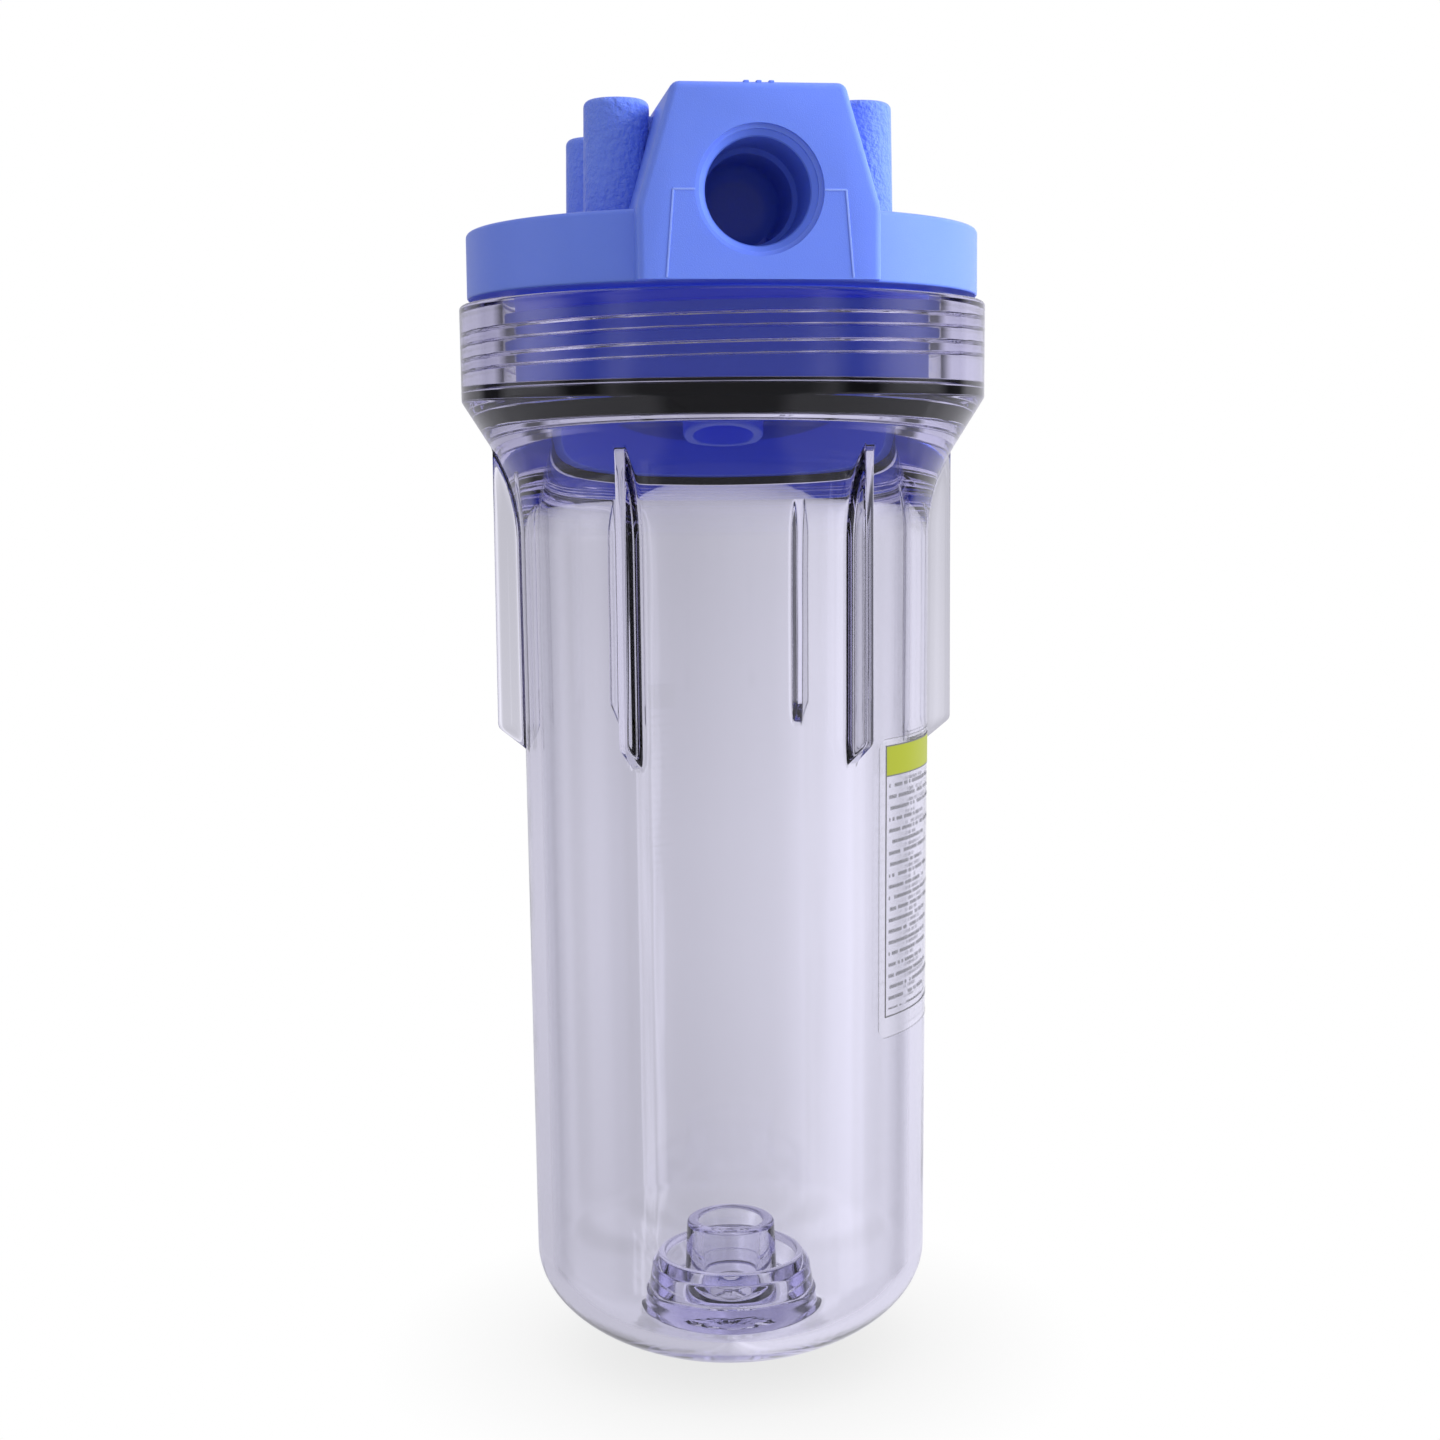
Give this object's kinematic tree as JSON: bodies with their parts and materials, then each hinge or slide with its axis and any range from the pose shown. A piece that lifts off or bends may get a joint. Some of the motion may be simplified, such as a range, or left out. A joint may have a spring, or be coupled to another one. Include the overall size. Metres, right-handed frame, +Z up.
{
  "type": "cartridge filter housing",
  "caption": "Clear threaded sump screwed up into a blue ported head, with a sealing ring and a label; a water filter housing for drop-in cartridges.",
  "frame": {"origin": "on the housing's axis, level with the sump's lowest point", "axes": "+Z up along the axis towards the head, -Y out of the inlet port, +Y out of the outlet port, +X across the port block"},
  "size_m": [0.13, 0.13, 0.3112],
  "materials": {
    "head_plastic": "moulded blue polypropylene, satin, with pebbled posts",
    "clear_plastic": "clear moulded plastic with a faint violet tint, polished",
    "seal_rubber": "black greased rubber",
    "label_film": "printed film with a blank yellow-green header band and grey rules"
  },
  "bodies": {
    "head": {"head": "head_plastic"},
    "seal": {"o_ring": "seal_rubber"},
    "sump": {"sump": "clear_plastic", "label": "label_film"}
  },
  "joints": [
    {"name": "sump_lower", "type": "slide", "parent": "head", "child": "seal", "axis": [0, 0, -1], "range_m": [0, 0.0256]},
    {"name": "sump_unscrew", "type": "hinge", "parent": "seal", "child": "sump", "pos_m": [0, 0, 0.2535], "axis": [0, 0, -1], "range_deg": [0, 1440]}
  ],
  "couplings": [
    {"joint": "sump_lower", "follows": "sump_unscrew", "m_per_rad": 0.0010106}
  ]
}
